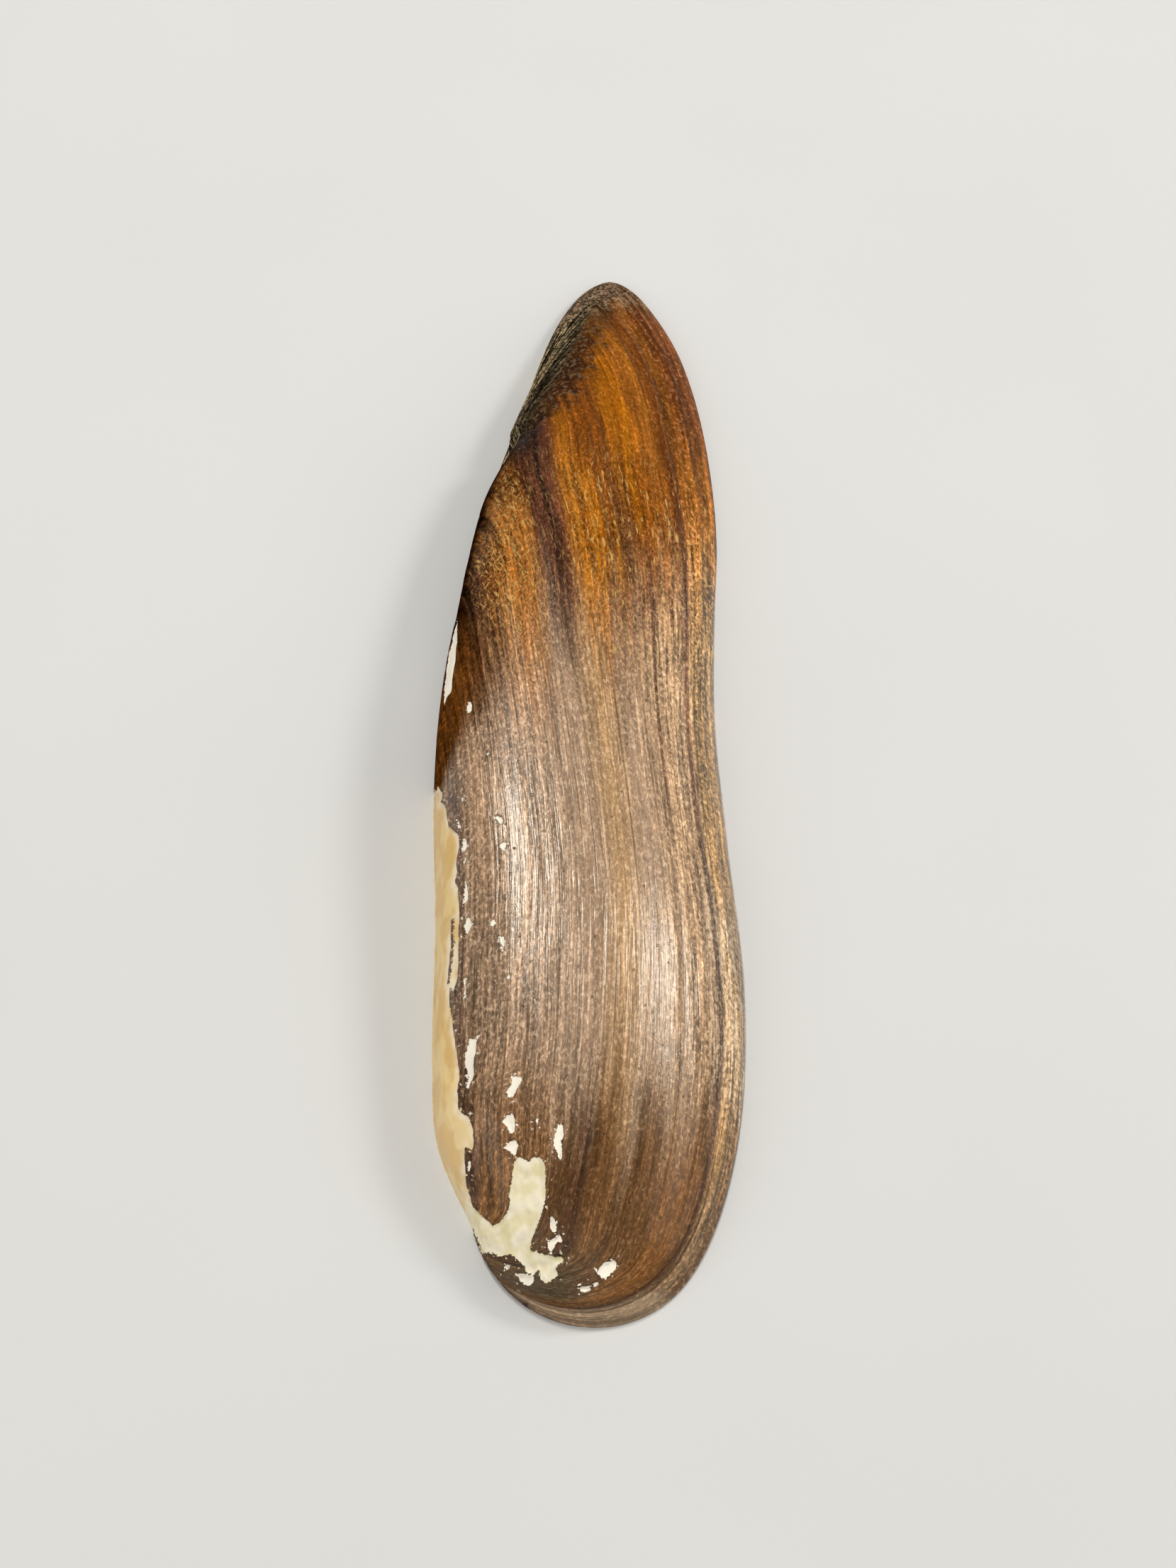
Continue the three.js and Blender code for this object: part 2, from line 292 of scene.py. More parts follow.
class SkinSettings(bpy.types.PropertyGroup):
    """Colours of the shell."""

    amber: colour("Amber", "8a4a05", "Hind half, outside the dark rest line")
    honey: colour("Honey", "b4700c", "Bright streaks of the hind half")
    ginger: colour("Ginger", "975b20", "Hind half, inside the dark rest line")
    rust: colour("Rust", "6a3810", "Darker bands of the hind half")
    taupe: colour("Taupe", "a28468", "Middle of the back")
    sand: colour("Sand", "ab865c", "Warmer bands of the middle")
    umber: colour("Umber", "6f4b29", "Front end")
    bark: colour("Bark", "331706", "Along the hinge edge")
    russet: colour("Russet", "5b3d28", "Peeled band beside the bare strip")
    plum: colour("Plum", "553020", "Beside the dark rest line")
    rest_line: colour("Rest line", "190d0a", "In the rest lines")
    margin: colour("Margin", "ae8450", "Youngest shell, along the margin")
    slope: colour("Slope", "75654a", "Hind slope and tip")
    fleck: colour("Fleck", "d4bea0", "Pale flecks of the growth lines")
    gold: colour("Gold", "d9ac62", "Fibres of the hind half")
    rouge: colour("Rouge", "582a0e", "Reddish rest lines near the belly")
    chalk: colour("Chalk", "f2e8d4", "Small bare flakes")
    bone: colour("Bone", "ddd0a4", "The large bare patch at the beak")
    cream: colour("Cream", "dcb968", "The bare strip along the hinge")
    pearl: colour("Pearl", "e4e2de", "Lining")
    blush: colour("Blush", "dcc3b0", "Lining under the beak")


class StageSettings(bpy.types.PropertyGroup):
    """Floor, lights and camera."""

    floor: colour("Floor", "cfcdc8", "Pale floor")
    aim: FloatVectorProperty(
        name="Aim", description="Point of the floor in the middle of the picture", unit="LENGTH",
        default=(0.16 * MM, -5.0 * MM, 0),
    )
    distance: distance("Distance", 199.3 * MM, "Camera to that point")
    elevation: angle("Elevation", 59.9, "Camera above the horizon")
    azimuth: angle("Azimuth", 6.4, "Turn of the view from +Y towards +X")
    roll: angle("Roll", 7.4, "Turn of the picture")
    focal_length: FloatProperty(name="Focal length", description="Lens, in millimetres", default=51.4)


def along(knots, share):
    """A smooth curve through (share, value) knots, at shares of the length. It is a cubic in the angle whose
    cosine gives the share, so that an outline rounds off at both ends."""
    angles = np.arccos(1 - 2 * np.array([knot[0] for knot in knots], float))
    values = np.array([knot[1] for knot in knots], float)
    steps = np.diff(angles)
    slopes = np.diff(values) / steps
    tangents = np.empty_like(values)
    tangents[1:-1] = (slopes[:-1] * steps[1:] + slopes[1:] * steps[:-1]) / (steps[1:] + steps[:-1])
    tangents[0] = 1.5 * slopes[0] - 0.5 * tangents[1]
    tangents[-1] = 1.5 * slopes[-1] - 0.5 * tangents[-2]
    place = np.arccos(1 - 2 * np.clip(share, 0, 1))
    span = np.clip(np.searchsorted(angles, place, side="right") - 1, 0, len(steps) - 1)
    t = (place - angles[span]) / steps[span]
    start, end, reach = values[span], values[span + 1], steps[span]
    return (
        start * (1 + 2 * t) * (1 - t) ** 2
        + end * (3 - 2 * t) * t**2
        + reach * t * (1 - t) * (tangents[span] * (1 - t) - tangents[span + 1] * t)
    )


def step(low, high, value):
    """0 below low, 1 above high and smooth between them. With low above high it falls instead."""
    t = np.clip((value - low) / (high - low), 0, 1)
    return t * t * (3 - 2 * t)


def within(zone, value):
    """1 inside a zone and 0 outside it, from where it begins, is full, begins to fade and is gone."""
    begins, full, fades, gone = zone
    return step(begins, full, value) * step(gone, fades, value)


def wander(draw, u, v, cells_u, cells_v):
    """Smooth random values from -1 to 1 over u and v, both 0 to 1, with that many cells each way."""
    grid = draw.uniform(-1, 1, (cells_u + 2, cells_v + 2))
    a, b = np.clip(u, 0, 1) * cells_u, np.clip(v, 0, 1) * cells_v
    i, j = a.astype(int), b.astype(int)
    s, t = step(0, 1, a - i), step(0, 1, b - j)
    near = grid[i, j] * (1 - t) + grid[i, j + 1] * t
    far = grid[i + 1, j] * (1 - t) + grid[i + 1, j + 1] * t
    return near * (1 - s) + far * s


def waves(draw, u, v, sizes):
    """Several such layers of random values, each with its size and its cells each way."""
    return sum(size * wander(draw, u, v, *cells) for size, *cells in sizes)


class Arch:
    """One of the two arched surfaces, the back or the hollow under it."""

    SECTION = 480  # points of a section before it is divided evenly
    END_ROUNDING = 3  # how quickly the margin turns from the ends into the sides
    PLATE = ((0.06, 0.14), (0.68, 0.78))  # shares of the length where the hinge plate widens and narrows

    def __init__(self, sizes, inner):
        self.sizes = sizes
        self.inset = sizes.lip if inner else 0.0
        self.plate = sizes.hinge_plate if inner else 0.0
        self.depth = sizes.depth - (sizes.wall if inner else 0.0)
        shares = np.linspace(0, 1, self.SECTION)
        self.middle = (along(HINGE_EDGE, shares).min() + along(BELLY_EDGE, shares).max()) * sizes.height / 2

    def edges(self, share):
        """The hinge edge's and the belly edge's x, and y, at shares of the length."""
        rounding = self.END_ROUNDING * np.sin(np.arccos(1 - 2 * share))
        fade = rounding / np.hypot(1, rounding)
        widened = step(*self.PLATE[0], share) - step(*self.PLATE[1], share)
        hinge_inset = fade * (self.inset + (self.plate - self.inset) * widened)
        hinge = along(HINGE_EDGE, share) * self.sizes.height + hinge_inset
        belly = along(BELLY_EDGE, share) * self.sizes.height - fade * self.inset
        y = (share - 0.5) * (self.sizes.length - 2 * self.inset)
        return hinge - self.middle, belly - self.middle, y

    def points(self, shares, columns):
        """Rows of points from the hinge edge over the crest to the belly edge, evenly spaced along each row,
        and how far across the valve each lies."""
        turn = np.linspace(0, 1, self.SECTION)
        on_hinge_side = turn < CREST_TURN
        reach, fall = np.abs(np.cos(np.pi * turn)), np.sin(np.pi * turn)
        fall = fall ** np.where(on_hinge_side, 1.0, 2 * BELLY_FALL)
        hinge, belly, y = self.edges(shares)
        crest = hinge + (belly - hinge) * along(CREST_PLACE, shares)
        high = np.maximum(along(CREST_HEIGHT, shares), 0) * self.depth
        points = np.empty((len(shares), columns + 1, 3))
        for row, share in enumerate(shares):
            side = np.where(on_hinge_side, hinge[row], belly[row])
            power = np.where(on_hinge_side, 2 / along(SHOULDER, share), 1.0)
            x = crest[row] + (side - crest[row]) * reach**power
            z = high[row] * fall
            walked = np.concatenate([[0], np.cumsum(np.hypot(np.diff(x), np.diff(z)))])
            even = np.linspace(0, walked[-1], columns + 1)
            points[row, :, 0] = np.interp(even, walked, x)
            points[row, :, 1] = y[row]
            points[row, :, 2] = np.interp(even, walked, z)
        width = np.maximum(belly - hinge, TINY)[:, None]
        return points, np.clip((points[..., 0] - hinge[:, None]) / width, 0, 1)


def ridge_place(share):
    """How far across the valve the hind ridge lies."""
    run = (share - RIDGE_START) / (1 - RIDGE_START)
    return RIDGE_END * (run + np.hypot(run, RIDGE_EASE)) / (1 + math.hypot(1, RIDGE_EASE))


def ridge_over(shares, across):
    """How far over the back, along its surface, the hind ridge lies in each row of points."""
    over = np.linspace(0, 1, across.shape[1])
    return np.array([np.interp(place, row, over) for place, row in zip(ridge_place(shares), across)])[:, None]


def beak_fan(arch, points):
    """The share of the way from the beak to the margin along a ray from the beak, at each point."""
    _, belly, y = arch.edges(np.linspace(FAN_REACH, 0, 400))
    front_hinge, _, front_y = arch.edges(np.linspace(0, BEAK, 200))
    beak = np.array([front_hinge[-1], front_y[-1]])
    front = np.stack([front_hinge, front_y], 1)[1:-BESIDE_BEAK]
    rim = np.concatenate([np.stack([belly, y], 1), front]) - beak
    turns = np.arctan2(-rim[:, 1], rim[:, 0])
    order = np.argsort(turns)
    ray = points[..., :2] - beak
    turn = np.arctan2(-ray[..., 1], ray[..., 0])
    reach = np.interp(turn, turns[order], np.hypot(rim[:, 0], rim[:, 1])[order])
    return np.clip(np.hypot(ray[..., 0], ray[..., 1]) / reach, 0, 1)


def growth(arch, shares, points, across):
    """How far the shell had grown at each point, from 0 at the beak and hinge to 1 at the margin."""
    share = np.broadcast_to(shares[:, None], across.shape)
    over = np.linspace(0, 1, across.shape[1])
    ridge = ridge_place(share)
    belly_side = np.clip((across - ridge) / (1 - ridge), 0, 1)
    hinge_side = (1 - over / np.maximum(ridge_over(shares, across), 1e-6)) * step(*SLOPE_PARTS, share)
    out = np.where(across < ridge, hinge_side, belly_side)
    rounding = RIDGE_ROUNDING * step(0, ROUNDED_RIDGE, ridge)
    out = (np.hypot(out, rounding) - rounding) / (np.hypot(1, rounding) - rounding)
    fan = beak_fan(arch, points)
    out = fan + (np.clip(out, 0, 1) - fan) * step(*FAN, share)
    reached = np.clip(along(RIDGE_GROWTH, shares), 0, 1)
    dark = np.maximum(along(DARK_PLACE, shares), LINE_GAP)
    red = np.maximum(along(RED_PLACE, shares), dark + LINE_GAP)
    grown = np.empty(across.shape)
    for row, start in enumerate(reached):
        lines = (start, max(start, DARK_LINE), max(start, RED_LINE), 1)
        grown[row] = np.interp(out[row], (0, dark[row], red[row], 1), lines)
    return grown


def from_segment(start, end, x, y):
    """Distance to the straight line between two points."""
    (ax, ay), (bx, by) = start, end
    dx, dy = bx - ax, by - ay
    t = np.clip(((x - ax) * dx + (y - ay) * dy) / (dx * dx + dy * dy), 0, 1)
    return np.hypot(x - ax - t * dx, y - ay - t * dy)


def from_line(line, x, y):
    """Distance to an open line."""
    return np.min([from_segment(start, end, x, y) for start, end in zip(line, line[1:])], axis=0)


def outside_of(outline, x, y):
    """Signed distance to a closed outline, negative inside it."""
    inside = np.zeros(x.shape, bool)
    for (ax, ay), (bx, by) in zip(outline, outline[1:] + outline[:1]):
        crosses = (ay > y) != (by > y)
        inside ^= crosses & (x < ax + (y - ay) * (bx - ax) / ((by - ay) or TINY))
    nearest = from_line(outline + outline[:1], x, y)
    return np.where(inside, -nearest, nearest)


def outside_of_dot(dot, x, y):
    """Signed distance to a small oval, near enough."""
    left, front, width, length = dot
    return (np.hypot((x - left) / width, (y - front) / length) - 0.5) * min(width, length)


def bare_patches(points, over, draw):
    """Signed distance to the bare patches in millimetres, their kind, 0 for flakes, 0.5 for the beak patch
    and 1 for the strip, and signed distance to the peeled band."""
    x, y = points[..., 0] / MM, points[..., 1] / MM
    length = y / (HIGH[1] - LOW[1]) * MM + 0.5
    width = (x - LOW[0] / MM) / (HIGH[0] - LOW[0]) * MM
    ragged = waves(draw, length, width, RAGGED)
    # Down the hinge wall the strip's hind end runs further back, and the sliver stops short of the margin
    down = np.clip(1 - over / HINGE_WALL, 0, 1) * step(*STRIP_HIND, length)
    back = (STRIP_RUN + STRIP_WAVER * wander(draw, length, over, 40, 40)) * down
    strip = outside_of(STRIP, x, y - back) + 0.4 * ragged
    foot = SLIVER_STEEPNESS * (0.5 * HINGE_WALL - over) + SLIVER_WAVER * wander(draw, length, over, 90, 30)
    sliver = np.maximum(outside_of(SLIVER, x, y), foot)
    strip = np.maximum(strip, CRACK_WIDTH / 2 - from_line(CRACK, x, y))
    patch = outside_of(BEAK_PATCH, x, y) + 0.7 * ragged
    flakes = [outside_of(flake, x, y) for flake in FLAKES] + [outside_of_dot(dot, x, y) for dot in DOTS]
    flakes = np.min(flakes + [sliver], axis=0) + 0.35 * ragged
    bare = np.minimum(np.minimum(strip, patch), flakes)
    kind = np.where(strip <= bare, 1.0, np.where(patch <= bare, 0.5, 0.0))
    peeled = outside_of(PEELED, x, y) + ragged
    return np.clip(bare, -REACH, REACH), kind, np.clip(peeled, -REACH, REACH)


def normals_of(points):
    """Outward normals of rows of points that run to the right and up the page."""
    normals = np.cross(np.gradient(points, axis=1), np.gradient(points, axis=0))
    lengths = np.linalg.norm(normals, axis=-1, keepdims=True)
    return normals / np.maximum(lengths, 1e-15)


def ledge_relief(share, across, grown):
    """Height of the ledges that the rest lines leave, in metres."""
    relief = np.zeros(across.shape)
    height = 1 - 0.7 * within(SMOOTHED, share)
    dark_height = 1 + within(DARK_NOTCH, share) * step(0.3, 0.1, across) - 0.55 * step(*LOW_IN_FRONT, share)
    for line, drop in LEDGES:
        passed = step(line - LEDGE_BEFORE, line + LEDGE_AFTER, grown)
        relief += drop * MM * (grown - passed) * height * (dark_height if line == DARK_LINE else 1)
    return relief


def back_relief(shares, across, grown, bare, kind, draw):
    """Height of the back's ledges, ridges and worn places above the plain arch, in metres."""
    share = np.broadcast_to(shares[:, None], across.shape)
    over = np.linspace(0, 1, across.shape[1])
    skin = MM * waves(draw, grown, share, SKIN_WAVES)
    on_slope = step(0.02, -0.04, over - ridge_over(shares, across)) * step(0.75, 0.8, share)
    skin += CRUMPLE * on_slope * wander(draw, grown, share, 70, 10)
    nick = NICK_DEPTH * within(NICK, share) * step(0.34, 0.1, over)
    on_strip = kind > STRIP_KIND
    lumps = np.where(on_strip, STRIP_LUMPS, FLAKE_LUMPS) * waves(draw, share, across, LUMP_CELLS)
    bare_floor = lumps - FLAKE_DEPTH * np.where(on_strip, STRIP_DEPTH, 1.0)
    worn = step(0.05, -0.10, bare)
    relief = ledge_relief(share, across, grown) - nick
    return relief + skin * (1 - worn) + bare_floor * worn + LIFT * within(LIFTED_EDGE, bare)


def grid_sheet(name, rows, columns, material):
    """A flat grid, and the row and column of each of its corners."""
    bpy.ops.object.select_all(action="DESELECT")
    bpy.ops.mesh.primitive_grid_add(x_subdivisions=columns, y_subdivisions=rows, size=1.0)
    sheet = bpy.context.active_object
    sheet.name = name
    sheet.data.materials.append(material)
    corners = np.empty(len(sheet.data.vertices) * 3)
    sheet.data.vertices.foreach_get("co", corners)
    corners = corners.reshape(-1, 3) + 0.5
    return sheet, np.rint(corners[:, 1] * rows).astype(int), np.rint(corners[:, 0] * columns).astype(int)


def shaped_sheet(name, points, material, **values):
    """A grid shaped to rows of points, with the values that are given on its points and 0 for the others."""
    sheet, row, column = grid_sheet(name, points.shape[0] - 1, points.shape[1] - 1, material)
    sheet.data.vertices.foreach_set("co", points[row, column].ravel())
    for value_name in VALUES:
        attribute = sheet.data.attributes.new(value_name, "FLOAT", "POINT")
        value = np.broadcast_to(values.get(value_name, 0.0), points.shape[:2])
        attribute.data.foreach_set("value", value[row, column].astype(np.float32))
    sheet.data.update()
    return sheet


class Wire:
    """A socket of a material's nodes. Arithmetic on wires adds the Math nodes that work it out."""

    def __init__(self, socket):
        self.socket = socket

    @staticmethod
    def node(tree, kind, settings=None, sockets=None, out=0):
        """A new node's output. Its settings are made first, then its sockets get their values or links."""
        made = tree.nodes.new("ShaderNode" + kind)
        for name, value in (settings or {}).items():
            if name == "stops":
                stops = made.color_ramp.elements
                while len(stops) < len(value):
                    stops.new(1.0)
                for stop, (place, shade) in zip(stops, value):
                    stop.position = place
                    stop.color = shade
            else:
                setattr(made, name, value)
        for name, value in (sockets or {}).items():
            if isinstance(value, Wire):
                tree.links.new(value.socket, made.inputs[name])
            else:
                made.inputs[name].default_value = value
        return Wire(made.outputs[out])

    def maths(self, operation, first, second=0.0):
        return Wire.node(self.socket.id_data, "Math", {"operation": operation}, {0: first, 1: second})

    def __add__(self, other):
        return self.maths("ADD", self, other)

    def __radd__(self, other):
        return self.maths("ADD", other, self)

    def __sub__(self, other):
        return self.maths("SUBTRACT", self, other)

    def __rsub__(self, other):
        return self.maths("SUBTRACT", other, self)

    def __mul__(self, other):
        return self.maths("MULTIPLY", self, other)

    def __rmul__(self, other):
        return self.maths("MULTIPLY", other, self)

    def __abs__(self):
        return self.maths("ABSOLUTE", self)


class Finish:
    """A material in the making: its nodes, and the few node patterns that the materials share."""

    GROWTH_MM = 26.0  # millimetres of shell from the hinge to the belly, for the grain's scale

    def __init__(self, name):
        self.material = bpy.data.materials.new(name)
        self.material.use_nodes = True
        self.tree = self.material.node_tree
        self.tree.nodes.clear()
        inside = self.node("TexCoord", out="Object")
        x, y, z = (self.node("SeparateXYZ", sockets={0: inside}, out=axis) * (1 / MM) for axis in "XYZ")
        self.place = self.node("CombineXYZ", sockets={0: x, 1: y, 2: z})
        self.grown = self.value("grown")
        self.lines = self.node("CombineXYZ", sockets={0: self.grown * self.GROWTH_MM, 1: y, 2: x})

    def node(self, kind, settings=None, sockets=None, out=0):
        return Wire.node(self.tree, kind, settings, sockets, out)

    def value(self, name):
        """A value stored on the mesh."""
        return self.node("Attribute", {"attribute_name": name}, out="Fac")

    def smooth(self, value, low, high, *fall):
        """0 at low, 1 at high and smooth between them; low may be above high. With two more numbers it falls
        again from the first of them to the second."""
        if fall:
            return self.smooth(value, low, high) * self.smooth(value, *reversed(fall))
        if low > high:
            return 1 - self.smooth(value, high, low)
        return self.node("MapRange", {"interpolation_type": "SMOOTHSTEP"}, {0: value, 1: low, 2: high})

    @staticmethod
    def either(first, second):
        """Two masks laid over each other."""
        return 1 - (1 - first) * (1 - second)

    def noise(self, vector, detail=2.0, roughness=0.5, distortion=0.0):
        sockets = {"Vector": vector, "Scale": 1.0, "Detail": detail, "Roughness": roughness}
        return self.node("TexNoise", sockets={**sockets, "Distortion": distortion})

    def scaled(self, vector, sizes, shift=0.0):
        """A vector measured in units of those sizes, in millimetres."""
        scale = tuple(1 / size for size in sizes)
        return self.node("VectorMath", {"operation": "MULTIPLY_ADD"}, {0: vector, 1: scale, 2: (shift,) * 3})

    def grain(self, width, length, detail=2.0, roughness=0.5, shift=0.0, distortion=0.0):
        """Streaks of that width and length, in millimetres, along the growth lines."""
        vector = self.scaled(self.lines, (width, length, length), shift)
        return self.noise(vector, detail, roughness, distortion)

    def specks(self, size, detail=2.0, roughness=0.5):
        """Blotches of that size, in millimetres."""
        return self.noise(self.scaled(self.place, (size,) * 3), detail, roughness)

    def mix(self, amount, first, second, blend="MIX"):
        settings = {"data_type": "RGBA", "blend_type": blend}
        return self.node("Mix", settings, {0: amount, 6: first, 7: second}, out=2)

    def ramp(self, value, stops):
        return self.node("ValToRGB", {"stops": stops}, {0: value})

    def shaded(self, tone, shade, amount=1.0):
        """A colour multiplied by a number."""
        grey = self.node("CombineColor", sockets={0: shade, 1: shade, 2: shade})
        return self.mix(amount, tone, grey, "MULTIPLY")

    def finish(self, sockets, height, bump, matte=None):
        """Ends the material in a shader with a bump of that height in metres, dull where it is matte."""
        normal = self.node("Bump", sockets={"Strength": 1.0, "Distance": bump, "Height": height})
        sockets = {**sockets, "Normal": normal}
        shader = self.node("BsdfPrincipled", sockets=sockets)
        if matte:
            dull = self.node("BsdfPrincipled", sockets={**sockets, "Specular IOR Level": 0.0})
            shader = self.node("MixShader", sockets={0: matte, 1: shader, 2: dull})
        output = self.tree.nodes.new("ShaderNodeOutputMaterial")
        self.tree.links.new(shader.socket, output.inputs["Surface"])
        return self.material


def blend_of(first, second, amount):
    """A colour part of the way from one to another."""
    return [a + (b - a) * amount for a, b in zip(first, second)]


def dimmed(shade, amount):
    """A colour made darker or lighter."""
    return [part * amount for part in shade[:3]] + [1.0]


def palette(colours):
    """The shell's colours by name."""
    return SimpleNamespace(**{name: list(getattr(colours, name)) for name in SkinSettings.__annotations__})


class Skin(Finish):
    """The skin of the back in the making: the values on its mesh, its grains and its main zones. The layers
    that follow paint over each other and leave on it the masks that later ones need."""

    def __init__(self, colours):
        super().__init__("mussel_skin")
        self.c = palette(colours)
        self.share, self.over, self.beyond = (self.value(name) for name in ("share", "over", "beyond"))
        self.bare, self.kind = self.value("bare"), self.value("kind")
        self.fleck, self.hair, self.fine = (self.grain(*grain) for grain in (FLECK, HAIR, FINE))
        self.middle, self.broad = self.grain(*MIDDLE), self.grain(*BROAD)
        self.blotch = self.specks(1.3, 3.0, 0.6)
        # The growth and the length, both wavering a little
        self.age = self.grown + (self.broad - 0.5) * 0.012 + (self.middle - 0.5) * 0.01
        where = self.share + (self.broad - 0.5) * 0.16 + (self.middle - 0.5) * 0.08
        onset = where + 0.05 * self.aged(0.5, 0.35) - 0.09 * self.aged(0.74, 0.95)
        self.behind = self.smooth(onset, *HIND_HALF)
        self.before = self.smooth(where + 0.03 * self.over, *FRONT_END)
        self.between = (1 - self.behind) * (1 - self.before)
        # Where a painted highlight lies over the belly margin
        self.highlight_zone = self.at(*HIGHLIGHT_ZONE)

    def at(self, *zone):
        """1 inside a zone of the length and 0 outside it."""
        return self.smooth(self.share, *zone)

    def aged(self, *zone):
        """1 inside a zone of the growth and 0 outside it."""
        return self.smooth(self.age, *zone)

    def paint(self, amount, shade):
        """Lays a colour over the tone so far."""
        self.tone = self.mix(amount, self.tone, shade)

    def shade(self, amount):
        """Makes the tone so far darker or lighter."""
        self.tone = self.shaded(self.tone, amount)


def hind_tone(f):
    """The amber and ginger of the hind half."""
    c = f.c
    tone = f.ramp(f.age, [
        (0.08, c.bark), (0.2, c.bark), (0.27, blend_of(c.rust, c.bark, 0.3)), (0.33, c.ginger),
        (0.46, c.ginger), (0.49, c.plum), (0.53, blend_of(c.plum, c.rest_line, 0.5)), (0.56, c.plum),
        (0.6, blend_of(c.amber, c.ginger, 0.4)), (0.67, c.amber), (0.72, c.rust), (0.75, c.rust),
        (0.79, c.amber), (0.85, blend_of(c.amber, c.ginger, 0.7)), (0.9, c.rust), (0.93, c.ginger),
        (1.0, c.ginger),
    ])
    glow = f.smooth(f.grain(*GLOW), 0.5, 0.68) * f.aged(0.57, 0.62)
    tone = f.mix(0.48 * glow, tone, c.honey)
    golden = f.aged(*GOLDEN_BAND) * f.at(0.78, 0.7)
    tone = f.mix(0.4 * golden * f.smooth(f.middle, 0.3, 0.6), tone, c.honey)
    far = f.at(*FAR_HIND)
    tone = f.mix(0.45 * far * f.aged(*RUST_BAND), tone, c.rust)
    tone = f.mix(0.5 * far * f.aged(*HONEY_BAND), tone, blend_of(c.amber, c.honey, 0.35))
    return f.mix(f.at(0.72, 0.84) * f.aged(0.91, 0.95), tone, c.rust)


def body_tone(f):
    """The taupe of the middle."""
    c = f.c
    belly = dimmed(blend_of(c.taupe, c.sand, 0.4), 1.18)
    return f.ramp(f.age, [
        (0.1, blend_of(c.taupe, c.umber, 0.3)), (0.22, blend_of(c.taupe, c.umber, 0.15)), (0.4, c.taupe),
        (0.52, dimmed(c.taupe, 1.04)), (0.61, dimmed(c.sand, 1.06)), (0.7, dimmed(c.taupe, 1.04)),
        (0.8, belly), (0.9, belly), (0.94, c.margin), (1.0, c.margin),
    ])


def front_tone(f):
    """The umber of the front end."""
    c = f.c
    rim = dimmed(blend_of(c.margin, c.taupe, 0.6), 0.5)
    return f.ramp(f.age, [
        (0.0, c.umber), (0.36, dimmed(c.umber, 1.25)), (0.46, dimmed(c.umber, 0.65)),
        (0.52, dimmed(c.umber, 0.6)), (0.58, c.umber), (0.68, dimmed(c.umber, 0.8)), (0.76, c.umber),
        (0.85, blend_of(c.umber, c.ginger, 0.4)), (0.9, dimmed(c.umber, 0.75)), (0.95, rim), (1.0, rim),
    ])


def ground(f):
    """The plain colours of the three parts, with the brown bands in front and the dark notch behind."""
    c = f.c
    f.tone = f.mix(f.before, f.mix(f.behind, body_tone(f), hind_tone(f)), front_tone(f))
    brown = f.aged(*BROWN_BAND) + 1.4 * f.aged(0.955, 0.985)
    f.paint(0.35 * f.at(*NEAR_FRONT) * brown, c.umber)
    shadow = f.smooth(f.share + 0.03 * (f.middle - 0.5), 0.06, 0.025) * f.smooth(f.over, 0.6, 0.3)
    f.paint(0.85 * shadow * f.aged(0.9, 0.8), dimmed(c.slope, 0.45))
    f.notch = f.at(*NOTCH_ZONE) * f.aged(0.54, 0.48)
    f.paint(0.8 * f.notch, blend_of(c.rust, c.bark, 0.5))


def rest_lines(f):
    """The dark rest line, strong behind and in front, the thin one of the middle and the reddish one, which
    runs the whole length."""
    c, age = f.c, f.age
    f.from_dark = abs(age - DARK_LINE + 0.01)
    f.paint(0.75 * f.smooth(f.from_dark, 0.065, 0.02) * f.at(0.48, 0.62), c.plum)
    ahead = f.at(*FRONT_LINE)
    streak = f.smooth(abs(age - DARK_LINE + 0.02 + 0.04 * (f.middle - 0.5)), 0.045, 0.0)
    streak = streak * ahead * (0.3 + 0.7 * f.smooth(f.blotch, 0.36, 0.6))
    f.paint(0.7 * streak, dimmed(c.plum, 0.8))
    dark = f.smooth(abs(age - DARK_LINE) - 0.006 * ahead, 0.01, 0.002)
    dark = dark * (0.25 + 0.75 * f.at(0.52, 0.66) + 0.3 * ahead)
    f.paint(0.85 * dark, c.rest_line)
    # Near-black crease by the hinge edge: the dark line's own colour, deepened as painted shade
    crease = f.at(*CREASE_ZONE) * f.smooth(age + 0.04 * (f.blotch - 0.5), 0.57, 0.52)
    f.paint(0.85 * crease, dimmed(c.rest_line, 1.3))
    f.red = f.smooth(abs(age - RED_LINE), 0.013, 0.004)
    red_tone = f.mix(f.at(0.3, 0.5), blend_of(c.rouge, c.rest_line, 0.5), c.rouge)
    # The reddish line is painted fainter under the painted highlight of the belly margin
    strength = 0.85 * (1 - 0.15 * f.highlight_zone) * (1 - 0.6 * f.at(0.7, 0.8))
    f.paint(f.red * strength, red_tone)
    thin = f.smooth(abs(age - THIN_LINE), 0.007, 0.002)
    f.paint(0.7 * thin * f.at(*THIN_LINE_ZONE), c.rouge)


def hinge_bark(f):
    """The dark bark and painted shade along the hinge edge, and the peeled band beside the bare strip."""
    c = f.c
    width = 0.05 + 0.23 * f.at(0.36, 0.5) - 0.13 * f.at(0.52, 0.64)
    width = width - 0.07 * f.at(0.7, 0.8)
    from_bark = f.over - width + 0.12 * (f.fine - 0.5) + 0.06 * (f.middle - 0.5)
    f.bark = f.smooth(from_bark, 0.03, -0.05) * f.at(0.1, 0.14)
    # Painted shade: a wider, softer band in the bark's colour along the hinge side of the back
    f.stain = f.smooth(from_bark, 0.08, 0.0) * f.at(*HINGE_SHADE_ZONE)
    # Over the hind part the bark is painted at half its brightness, as shade on the hinge wall
    bark_and_wall_shade = f.mix(f.at(0.6, 0.5), dimmed(c.bark, 0.5), blend_of(c.bark, c.ginger, 0.28))
    f.paint(f.either(f.bark, 0.65 * f.stain), bark_and_wall_shade)
    peeled = f.smooth(f.value("peeled") + 0.25 * (f.fine - 0.5), 0.06, -0.06)
    f.paint(0.8 * peeled, c.russet)


